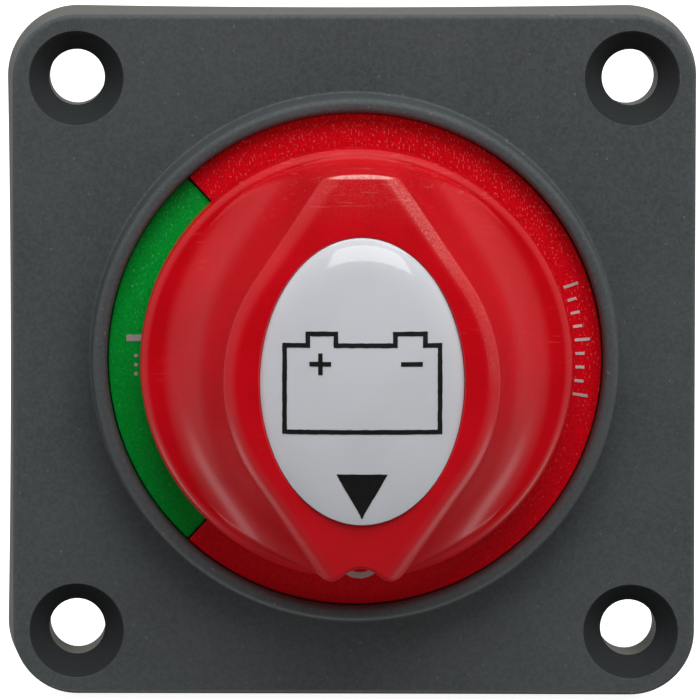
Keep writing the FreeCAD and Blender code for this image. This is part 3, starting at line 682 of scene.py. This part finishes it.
# ------------------------------ dial
def sector_solid(theta, sections):
    """A closed sweep about z: one closed (radius, height) outline per angle, with flat ends."""
    count = len(sections[0])
    rows = []
    for angle, section in zip(theta, sections):
        r, z = np.array(section).T
        rows.append(np.stack([r * np.cos(angle), r * np.sin(angle), z], 1))
    here = np.arange(count)
    after = (here + 1) % count
    faces = []
    for j in range(len(theta) - 1):
        low, high = j * count, (j + 1) * count
        faces += np.stack([low + here, low + after, high + after, high + here], 1).tolist()
    faces.append(here[::-1].tolist())
    faces.append((here + (len(theta) - 1) * count).tolist())
    return np.concatenate(rows), faces


def dial_piece(name, start, end, top):
    """A sector of the dial disc with small roundings, from one angle to another in degrees."""
    r0, r1, edge = dial_in_r, dial_r, 0.16
    inset = edge * (1 - np.sin(np.radians(np.linspace(0, 90, 5))))
    along = np.degrees(edge * (1 - np.cos(np.radians(np.linspace(0, 90, 5)))) / r1)
    middle = np.linspace(start + along[-1], end - along[-1], 160)[1:-1]
    angles = np.concatenate([start + along, middle, end - along[::-1]])
    insets = np.concatenate([inset, np.zeros(len(middle)), inset[::-1]])
    sections = []
    for d in insets:
        sections.append(soft([
            (r0 + d, dial_low), (r1 - d, dial_low), (r1 - d, top - d, edge), (r0 + d, top - d, edge),
        ], closed=True, steps=4, hold=0.03))
    return make_object(name, sector_solid(np.radians(angles), sections))


_, (_, green_y1), _ = span("dial_green")
dial_in_r = 11.5
green_half = math.degrees(math.asin(green_y1 / (dial_r - DIAL_WIDER)))
gap = math.degrees(0.1 / dial_r)
red_piece = dial_piece("dial_red_plate", 180 + green_half + gap, 540 - green_half - gap, red_top)
finish_piece(red_piece, "housing", DIAL_RED, ["dial_red"])
green_piece = dial_piece("dial_green_plate", 180 - green_half, 180 + green_half, green_top)
finish_piece(green_piece, "housing", DIAL_GREEN, ["dial_green"])


# ------------------------------ label and printed marks
EDGE_DROP_TOP, EDGE_DROP_BOTTOM, EDGE_DROP_SIDES = 0.5, 0.12, 0.3
LABEL_SIDE_R = 75.0
INK_T = 0.04


def pillow(x, y):
    """Height of the label's domed face."""
    along = CROWN_R - np.sqrt(CROWN_R ** 2 - y ** 2)
    across = LABEL_SIDE_R - np.sqrt(LABEL_SIDE_R ** 2 - x ** 2)
    rho2 = (x / label_a) ** 2 + (y / label_b) ** 2
    towards_end = (y / label_b) ** 2 / np.maximum(rho2, 1e-9)
    end_drop = np.where(y > 0, EDGE_DROP_TOP, EDGE_DROP_BOTTOM)
    drop = EDGE_DROP_SIDES + (end_drop - EDGE_DROP_SIDES) * towards_end
    fall = np.clip((np.sqrt(rho2) - 0.7) / 0.3, 0, 1) ** 2.7
    return label_top - along - across - drop * fall


def label_face():
    theta = even_turn(360)
    edge = 0.14
    loops = [(0.04 * oval(theta, label_a, label_b), label_floor)]
    for share in (0.5, 0.9):
        loops.append((share * oval(theta, label_a, label_b), label_floor))
    edge_r = oval(theta, label_a, label_b)
    edge_z = pillow(edge_r * np.cos(theta) * 0.999, edge_r * np.sin(theta) * 0.999)
    loops += [(edge_r - 0.1, label_floor), (edge_r, label_floor + 0.1), (edge_r, edge_z - 0.4)]
    for k in range(6):
        angle = math.radians(90 * k / 5)
        loops.append((edge_r - edge * (1 - math.cos(angle)), edge_z - edge * (1 - math.sin(angle))))
    for share in np.linspace(0.97, 0.02, 48):
        r = share * edge_r
        loops.append((r, pillow(r * np.cos(theta), r * np.sin(theta))))
    return make_object("label_face", polar_solid(theta, loops))


finish_piece(label_face(), "rotor", WHITE, ["knob_label"], sharp=60)

rng = np.random.default_rng(7)


def skin(points, faces, height, thickness, waver=0.0):
    """A thin closed skin over a flat mesh, lying on height(x, y), with slightly uneven borders."""
    points = np.array(points, float)
    edges = {}
    for face in faces:
        for a, b in zip(face, face[1:] + face[:1]):
            edges[(a, b)] = edges.get((a, b), 0) + 1
    border = [(a, b) for a, b in edges if (b, a) not in edges]
    loose = sorted({v for pair in border for v in pair})
    points[loose] += rng.uniform(-waver, waver, (len(loose), 2))
    z = height(points[:, 0], points[:, 1])
    count = len(points)
    shell = np.vstack([np.column_stack([points, z + thickness]), np.column_stack([points, z - 0.01])])
    polygons = [list(f) for f in faces] + [[v + count for v in reversed(f)] for f in faces]
    polygons += [[b, a, a + count, b + count] for a, b in border]
    return shell, polygons


def patch(corner, far_corner, columns, rows, bend=None):
    """A flat rectangular grid between two corners; bend moves its points."""
    xs = np.linspace(corner[0], far_corner[0], columns + 1)
    ys = np.linspace(corner[1], far_corner[1], rows + 1)
    points = [(x, y) for y in ys for x in xs]
    faces = []
    for j in range(rows):
        for i in range(columns):
            a = j * (columns + 1) + i
            faces.append([a, a + 1, a + columns + 2, a + columns + 1])
    return (bend(np.array(points)) if bend else points), faces


def loop_band(outer, inner, step=0.35):
    """A closed flat band between two outlines with matching corners."""
    rows = []
    count = len(outer)
    for i in range(count):
        (a0, a1), (b0, b1) = (outer[i], outer[(i + 1) % count]), (inner[i], inner[(i + 1) % count])
        pieces = max(1, int(math.dist(a0, a1) / step))
        for k in range(pieces):
            t = k / pieces
            rows.append([tuple(np.array(a0) * (1 - t) + np.array(a1) * t),
                         tuple(np.array(b0) * (1 - t) + np.array(b1) * t)])
    points = [p for row in rows for p in row]
    size = len(rows)
    faces = []
    for j in range(size):
        a, b = 2 * j, 2 * ((j + 1) % size)
        faces.append([a, b, b + 1, a + 1])
    return points, faces


STROKE = 0.44
BATTERY = (7.6, -4.85, 3.85)
POSTS, POST_TOP = ((-5.4, -2.3), (2.9, 6.2)), 4.95
SIGN_X, SIGN_Y, SIGN_ARM = (-4.0, 4.7), 1.85, 1.03
POINTER = (2.45, -8.7, -13.0)


def battery_outline(inset):
    half, low, high = BATTERY
    points = [(-half + inset, low + inset), (half - inset, low + inset), (half - inset, high - inset)]
    for left, right in reversed(POSTS):
        points += [(right - inset, high - inset), (right - inset, POST_TOP - inset),
                   (left + inset, POST_TOP - inset), (left + inset, high - inset)]
    return points + [(-half + inset, high - inset)]


def sign(x, tall):
    """A minus, or a plus if tall, as a flat mesh centred on the sign line."""
    h, arm = STROKE / 2, SIGN_ARM
    cuts = [-arm, -h, h, arm]
    points = [(x + a, SIGN_Y + b) for b in cuts for a in cuts]
    cells = [(0, 1), (1, 1), (2, 1)] + ([(1, 0), (1, 2)] if tall else [])
    faces = [[4 * j + i, 4 * j + i + 1, 4 * j + i + 5, 4 * j + i + 4] for i, j in cells]
    used = sorted({v for f in faces for v in f})
    return [points[v] for v in used], [[used.index(v) for v in f] for f in faces]


def taper(points):
    width, base, tip = POINTER
    share = (points[:, 1] - base) / (tip - base)
    points[:, 0] *= np.maximum(1 - share, 0.03)
    return points


width, base, tip = POINTER
battery = loop_band(battery_outline(0), battery_outline(STROKE))
pointer = patch((-width, tip), (width, base), 6, 14, taper)
figures = [battery, sign(SIGN_X[0], True), sign(SIGN_X[1], False), pointer]
label_ink = merged([skin(*figure, pillow, INK_T, 0.02) for figure in figures])
label_symbols = make_object("label_symbols", label_ink)
finish_piece(label_symbols, "rotor", BLACK, ["label_print"], sharp=80)

(mark_x0, _), _, _ = span("dial_marks")
I_MARK = (mark_x0, -19.4, 1.7, 2.35)
DOT_R, DOT_X, DOT_Y = 0.2, -21.75, (0.25, -0.65, -1.55)
O_MARK, O_HALF, MARK_STROKE = (0.5, -20.05), (2.2, 1.85), 0.6
TICKS, TICK_STEP, TICK_START, TICK_R, TICK_W = 9, 3.5, -9.0, 21.9, 0.28


def ellipse(at, a, b, sides=72):
    return [(at[0] + a * math.cos(t), at[1] + b * math.sin(t)) for t in even_turn(sides)]


def disc(at, r, sides=20):
    return [at] + ellipse(at, r, r, sides), [[0, 1 + i, 1 + (i + 1) % sides] for i in range(sides)]


def turned_by(shape, degrees):
    points, faces = shape
    c, s = math.cos(math.radians(degrees)), math.sin(math.radians(degrees))
    points = np.array(points)
    return np.column_stack([points[:, 0] * c - points[:, 1] * s, points[:, 0] * s + points[:, 1] * c]), faces


def dial_prints():
    on_green, on_red = (lambda x, y: np.full_like(x, green_top)), (lambda x, y: np.full_like(x, red_top))
    x0, x1, y0, y1 = I_MARK
    shapes = [skin(*patch((x0, y0), (x1, y1), 10, 2), on_green, INK_T, 0.025)]
    shapes += [skin(*disc((DOT_X, y), DOT_R), on_green, INK_T, 0.015) for y in DOT_Y]
    inner = [h - MARK_STROKE for h in O_HALF]
    o_mark = loop_band(ellipse(O_MARK, *O_HALF), ellipse(O_MARK, *inner))
    shapes.append(skin(*o_mark, on_red, INK_T, 0.02))
    for i in range(TICKS):
        length = 1.5 if i % 4 == 0 else 0.9
        tick = patch((TICK_R, -TICK_W / 2), (TICK_R + length, TICK_W / 2), 5, 1)
        shapes.append(skin(*turned_by(tick, TICK_START + TICK_STEP * i), on_red, INK_T, 0.015))
    return make_object("dial_prints", merged(shapes))


finish_piece(dial_prints(), "housing", INK, ["dial_marks"], sharp=80)


# ------------------------------ rear housing and terminals
def slab(x0, x1, y0, y1, z0, z1, edge=0.3):
    """A box with rounded upright edges and softened ends."""
    cx, cy, hx, hy = (x0 + x1) / 2, (y0 + y1) / 2, (x1 - x0) / 2, (y1 - y0) / 2
    rows = []
    for inset, z in ((edge * 0.6, z0), (0.0, z0 + edge * 0.6), (0.0, z1 - edge * 0.6), (edge * 0.6, z1)):
        ring = []
        for sx, sy, start in ((1, 1, 0), (-1, 1, 90), (-1, -1, 180), (1, -1, 270)):
            for k in range(5):
                a = math.radians(start + 22.5 * k)
                ring.append((cx + sx * (hx - edge) + (edge - inset) * math.cos(a),
                             cy + sy * (hy - edge) + (edge - inset) * math.sin(a), z))
        rows.append(ring)
    count = len(rows[0])
    faces = [list(range(count))[::-1], [3 * count + i for i in range(count)]]
    for j in range(3):
        for i in range(count):
            k = (i + 1) % count
            faces.append([j * count + i, j * count + k, (j + 1) * count + k, (j + 1) * count + i])
    return np.array(rows).reshape(-1, 3), faces


def hexagonal(theta, across_flats):
    return across_flats / 2 / np.cos(theta % math.radians(60) - math.radians(30))


def rear_drum():
    inner = drum_r - DRUM_WALL
    profile = soft([
        (1.0, drum_end), (drum_r - 1.0, drum_end, 0.5), (drum_r, drum_end + 1.0, 0.5),
        (drum_r, drum_front, 0.25), (inner, drum_front, 0.25), (inner, REAR_WALL_TOP, 0.6),
        (1.0, REAR_WALL_TOP),
    ])
    made = make_object("rear_drum", polar_solid(even_turn(256), profile))
    boss_top = spigot_low - 0.05
    barrier_x, barrier_y = BARRIER_T / 2, BARRIER_HALF
    additions = [slab(-barrier_x, barrier_x, -barrier_y, barrier_y, barrier_end, drum_end + 0.5, 0.6)]
    for side in (1, -1):
        for x in RIB_X:
            y0, y1 = sorted((side * RIB_IN_Y, side * RIB_OUT_Y))
            additions.append(slab(x, x + RIB_T, y0, y1, REAR_WALL_TOP - 0.5, boss_top))
    boss = [(BOSS_R, REAR_WALL_TOP - 0.5), (BOSS_R, boss_top - 0.2), (BOSS_R - 0.2, boss_top)]
    additions += [polar_solid(even_turn(48), boss, at=place) for place in SCREW_PLACES]
    carve(made, make_object("cutter", merged(additions)), "UNION")
    bore, head = SCREW_R + 0.2, SCREW_HEAD_R + 0.2
    screw_hole = [(head + 0.15, drum_end - 1), (head + 0.15, drum_end), (head, drum_end + 0.2),
                  (head, drum_end + HEAD_SINK), (bore, drum_end + HEAD_SINK), (bore, 0.0)]
    cuts = [polar_solid(even_turn(48), screw_hole, at=place) for place in SCREW_PLACES]
    around = even_turn(96)
    hexagon = hexagonal(around, HEAD_AF + 0.1)
    mouth, seal_low = STUD_HOLE_R + 0.2, HEAD_LOW - STUD_SEAL_T
    stud_hole = [(mouth, drum_end - 1), (mouth, drum_end), (STUD_HOLE_R, drum_end + 0.2),
                 (STUD_HOLE_R, seal_low), (STUD_SEAL_R, seal_low), (STUD_SEAL_R, HEAD_LOW),
                 (hexagon, HEAD_LOW), (hexagon, -20.0)]
    cuts += [polar_solid(around, stud_hole, at=place) for place in STUD_PLACES]
    cuts.append(polar_solid(even_turn(48), [(SPRING_SEAT_R, REAR_WALL_TOP - 1), (SPRING_SEAT_R, -20.0)]))
    carve(made, make_object("cutter", merged(cuts)))
    return made


def thread(theta, z, crest, root):
    """Radius of a right-hand thread, as a height map round and along the stud."""
    phase = (z / THREAD - theta / (2 * math.pi)) % 1.0
    flank = np.clip(np.abs(phase - 0.5) / 0.5 * 1.25 - 0.125, 0, 1)
    return root + (crest - root) * flank


def stud(name, x):
    around = even_turn(96)
    hexagon = hexagonal(around, HEAD_AF)
    profile = []
    for k in range(5):
        drop = 0.6 * (1 - k / 4)
        profile.append((np.minimum(hexagon, HEAD_AF / 2 + 1.2 - drop * 1.6), head_top - 0.6 * k / 4))
    profile += [(hexagon, HEAD_LOW + 0.1), (hexagon - 0.1, HEAD_LOW), (STUD_R, HEAD_LOW),
                (STUD_R, spring_low), (STUD_PITCH_R, spring_low), (STUD_PITCH_R, nut_low)]
    start, end = nut_low, stud_end + 0.9
    for z in np.arange(start, end, -0.09):
        fade = min(1.0, (start - z) / 0.5)
        profile.append((STUD_PITCH_R + (thread(around, z, STUD_R, STUD_ROOT_R) - STUD_PITCH_R) * fade, z))
    profile += [(STUD_ROOT_R + 0.1, stud_end + 0.45), (STUD_ROOT_R - 0.3, stud_end)]
    return make_object(name, polar_solid(around, profile[::-1], at=(x, 0.0)))


def ring_section(r_in, r_out, low, high, edge, **arcs):
    corners = [(r_in, low, edge), (r_out, low, edge), (r_out, high, edge), (r_in, high, edge)]
    return soft(corners, closed=True, **arcs)


def flat_washers():
    section = ring_section(5.25, washer_x1 - STUD_X, washer_low, washer_top, 0.25, steps=4, hold=0.02)
    shapes = [polar_solid(even_turn(128), section, bored=True, at=place) for place in STUD_PLACES]
    return make_object("washers_flat", merged(shapes))


def split_washers():
    """Spring washers: a ring cut through at a slant."""
    section = ring_section(5.15, (spring_y1 - spring_y0) / 2, spring_low, spring_top, 0.2, steps=3,
                           hold=0.02)
    angles = np.radians(np.linspace(5.0, 355.0, 120))
    ring, faces = sector_solid(angles, [section] * len(angles))
    slant = 0.12 * ((ring[:, 2] - spring_low) / (spring_top - spring_low) - 0.5)
    c, s = np.cos(slant), np.sin(slant)
    turned = np.column_stack([ring[:, 0] * c - ring[:, 1] * s, ring[:, 0] * s + ring[:, 1] * c, ring[:, 2]])
    pair = [(turned + (*place, 0.0), faces) for place in STUD_PLACES]
    return make_object("spring_washers_split", merged(pair))


def nuts():
    around = even_turn(96)
    hexagon = hexagonal(around, NUT_AF)
    half, bevel, bore = NUT_AF / 2, 0.9, STUD_PITCH_R + 0.05
    side = []
    for k in range(7):
        t = bevel * k / 6
        side.append((np.minimum(hexagon, half + 1.35 * t / bevel), nut_low + t))
    side += [(r, nut_low + nut_top - z) for r, z in side[::-1]]
    mouth = STUD_R + 0.25
    inside = [(mouth, nut_top), (bore, nut_top - 0.7), (bore, nut_low + 0.7), (mouth, nut_low)]
    shapes = [polar_solid(around, side + inside, bored=True, at=place) for place in STUD_PLACES]
    return make_object("nuts_hex", merged(shapes))


def housing_screws():
    around = even_turn(48)
    seat = drum_end + HEAD_SINK
    low = drum_end + 0.1
    profile = soft([(0.3, low), (SCREW_HEAD_R, low, 0.5), (SCREW_HEAD_R, seat, 0.1), (SCREW_R, seat, 0.1),
                    (SCREW_R, spigot_low + 0.4)], steps=5, hold=0.03)
    for z in np.arange(spigot_low + 0.4, BLIND_TOP - 1.3, 0.12):
        phase = (z / 1.06 - around / (2 * math.pi)) % 1.0
        profile.append((SCREW_R - 0.3 * np.clip(1 - np.abs(phase - 0.5) * 2.6, 0, 1), z))
    profile += [(SCREW_R - 0.45, BLIND_TOP - 0.8), (0.6, BLIND_TOP - 0.5)]
    made = make_object("screws_housing", merged([polar_solid(around, profile, at=p) for p in SCREW_PLACES]))
    for half_x, half_y in ((1.8, 0.42), (0.42, 1.8)):
        shapes = [slab(x - half_x, x + half_x, y - half_y, y + half_y, drum_end - 1, drum_end + 1.4, 0.15)
                  for x, y in SCREW_PLACES]
        carve(made, make_object("cutter", merged(shapes)))
    return made


def gasket():
    section = ring_section(29.1, gasket_r, 0.0, gasket_t, 0.3, steps=4, hold=0.05)
    return make_object("gasket_ring", polar_solid(even_turn(240), section, bored=True))


def coil(name, body, wire_r, out_r, ends, turns):
    """A spring with closed end coils."""
    theta = np.linspace(0, 2 * math.pi * turns, 36 * turns + 1)
    low, high = ends[0] + wire_r, ends[1] - wire_r
    dead = 2.1 * wire_r
    lap = 2 * math.pi
    rise = np.interp(theta, [0, lap, theta[-1] - lap, theta[-1]], [low, low + dead, high - dead, high])
    around = even_turn(12)
    across = out_r - wire_r + wire_r * np.cos(around)
    sections = [list(zip(across, z + wire_r * np.sin(around))) for z in rise]
    made = make_object(name + "_coil", sector_solid(theta, sections))
    finish_piece(made, body, STEEL, [name])
    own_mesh(made)


finish_piece(rear_drum(), "housing", HOUSING, ["rear_housing"])
finish_piece(stud("stud_left_bolt", -STUD_X), "housing", TINNED, ["stud_left"])
finish_piece(stud("stud_right_bolt", STUD_X), "housing", TINNED, ["stud_right"])
finish_piece(flat_washers(), "housing", STEEL, ["terminal_washers"])
finish_piece(split_washers(), "housing", STEEL, ["terminal_spring_washers"])
finish_piece(nuts(), "housing", STEEL, ["terminal_nuts"])
finish_piece(housing_screws(), "housing", STEEL, ["housing_screws"])
finish_piece(gasket(), "housing", GASKET, ["panel_gasket"])
coil("return_spring", "housing", 0.35, return_r, return_ends, 8)
coil("bridge_spring", "carrier", 0.5, float_r, float_ends, 3)


# ------------------------------ carried-over CAD nodes
NODE_MATERIALS = {
    "housing_seal": GASKET, "rotor_seal": GASKET, "stud_seals": GASKET, "rotor": NYLON,
    "thrust_washer": ACETAL, "contact_carrier": ACETAL, "contact_bridge": COPPER,
    "bridge_contact_tips": SILVER, "stud_contact_tips": SILVER,
}
for name, node in frame["nodes"].items():
    node.data.materials.clear()
    node.data.materials.append(NODE_MATERIALS.get(name, STEEL))


# ------------------------------ stage, light and camera
def world():
    """A white tent with a dark opening behind the camera: surfaces that face the viewer mirror the
    dark opening, and those that tilt away mirror the pale sides. It dims below the table and
    brightens overhead. The camera itself sees a plain backdrop."""
    made = bpy.data.worlds.new("studio")
    bpy.context.scene.world = made
    made.use_nodes = True
    g = Graph(made.node_tree)
    way = g.node("ShaderNodeTexCoord").outputs["Generated"]
    axes = g.node("ShaderNodeSeparateXYZ")
    g.link(way, axes.inputs[0])
    height = axes.outputs["Z"]
    tent = g.ramp(g.along(way, (0.0, -1.0, 0.0)), *OPENING, TENT_LIGHT, OPENING_LIGHT)
    below = g.ramp(height, *HORIZON, GROUND_SHARE, 1.0)
    above = g.ramp(height, 0.0, ZENITH, 1.0, ZENITH_SHARE, kind="LINEAR")
    seen = g.node("ShaderNodeMix")
    g.set(seen, "Factor", g.node("ShaderNodeLightPath").outputs["Is Camera Ray"])
    g.set(seen, "A", g.times(tent, g.times(above, below)))
    g.set(seen, "B", BACKDROP_LIGHT)
    sky = g.node("ShaderNodeBackground")
    g.set(sky, "Strength", seen.outputs[0])
    g.link(sky.outputs[0], g.node("ShaderNodeOutputWorld").inputs["Surface"])


def area_light(name, direction, distance, width, height, power, seen_in="diffuse", only=()):
    """A rectangular light aimed at the knob, from a direction in the frame. It's seen in diffuse or
    glossy shading or both. Given only, it lights nothing else."""
    data = bpy.data.lights.new(name, "AREA")
    data.shape = "RECTANGLE"
    data.size, data.size_y, data.energy = width, height, power
    made = bpy.data.objects.new(name, data)
    made.location = Vector(direction).normalized() * distance
    made.rotation_mode = "QUATERNION"
    made.rotation_quaternion = (-made.location).to_track_quat("-Z", "Y")
    made.visible_diffuse = seen_in != "glossy"
    made.visible_glossy = seen_in != "diffuse"
    bpy.context.scene.collection.objects.link(made)
    if only:
        receivers = bpy.data.collections.new(name + "_receivers")
        for thing in only:
            receivers.objects.link(bpy.data.objects[thing])
        made.light_linking.receiver_collection = receivers


OPENING = (0.7, 0.96)     # cosines from the camera side between which the tent fades to dark
OPENING_LIGHT, TENT_LIGHT, BACKDROP_LIGHT = 0.01, 0.6, 1.1
HORIZON = (-0.9, -0.42)   # sines of the elevations between which the tent dims downwards
GROUND_SHARE = 0.12
ZENITH, ZENITH_SHARE = 0.8, 1.5
FLOOR_GLOW = 0.9
STATION = (-0.01615, -0.42104, 0.0524)
TILT, TURN = 1.754, -0.852
FOCAL = 213.7
SHIFT = (0.3136, -0.5589)


def camera():
    """The camera at the viewing station. It looks almost straight at the panel and its lens is shifted
    to frame the switch. The shift goes with that station, so a camera moved elsewhere has none."""
    data = bpy.data.cameras.new("camera")
    made = bpy.data.objects.new("camera", data)
    bpy.context.scene.collection.objects.link(made)
    data.sensor_width = 36.0
    data.lens = FOCAL
    data.clip_start, data.clip_end = 0.01, 50.0
    look = Matrix.Rotation(math.radians(TURN), 3, "Y") @ Matrix.Rotation(math.radians(TILT), 3, "X")
    upright = Matrix.Rotation(math.radians(90), 3, "X")
    made.rotation_mode = "QUATERNION"
    made.rotation_quaternion = (upright @ look.transposed()).to_quaternion()
    made.location = STATION
    for key, value in (("shift_x", SHIFT[0]), ("shift_y", SHIFT[1])):
        driver = data.driver_add(key).driver
        driver.type = "SCRIPTED"
        for axis, name in (("LOC_X", "px"), ("LOC_Y", "py"), ("LOC_Z", "pz")):
            variable = driver.variables.new()
            variable.name = name
            variable.type = "TRANSFORMS"
            variable.targets[0].id = made
            variable.targets[0].transform_type = axis
        driver.expression = (f"{value} if abs(px - {STATION[0]}) + abs(py - {STATION[1]})"
                             f" + abs(pz - {STATION[2]}) < 0.001 else 0.0")
    bpy.context.scene.camera = made


def floor():
    """A pale paper floor that only the camera sees: the tent stands in for what it would reflect."""
    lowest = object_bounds()[0].z
    far = 6.0
    mesh = bpy.data.meshes.new("floor")
    mesh.from_pydata([(-far, -far, lowest), (far, -far, lowest), (far, far, lowest), (-far, far, lowest)],
                     [], [(0, 1, 2, 3)])
    made = bpy.data.objects.new("floor", mesh)
    bpy.context.scene.collection.objects.link(made)
    g = Finish("floor_paper")
    fibre = g.ramp(g.noise(0.02, 3.0), 0.3, 0.7)
    paper = g.mix(fibre, srgb(236, 236, 236), srgb(242, 242, 242))
    mesh.materials.append(g.finish(paper, 0.9, Emission_Color=(1, 1, 1, 1), Emission_Strength=FLOOR_GLOW,
                                   Specular_IOR_Level=0.0))
    made.visible_glossy = made.visible_diffuse = made.visible_shadow = False
    made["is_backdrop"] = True


world()
area_light("overhead", (0.12, -0.62, 0.78), 0.45, 0.36, 0.28, 1.24)
area_light("strip", (0.09, -0.87, 0.48), 0.5, 0.28, 0.16, 0.62, seen_in="glossy",
           only=("label_face", "label_symbols"))
area_light("table_sheen", (-0.1, -0.45, -0.9), 0.5, 0.7, 0.16, 1.1, seen_in="glossy",
           only=("front_plate_shell",))
for name, x in (("card_left", -0.74), ("card_right", 0.74)):
    area_light(name, (x, -0.25, -0.62), 0.5, 0.2, 0.2, 0.3, seen_in="both",
               only=("knob_grip",))
camera()
floor()
bpy.context.scene.view_settings.view_transform = "Standard"
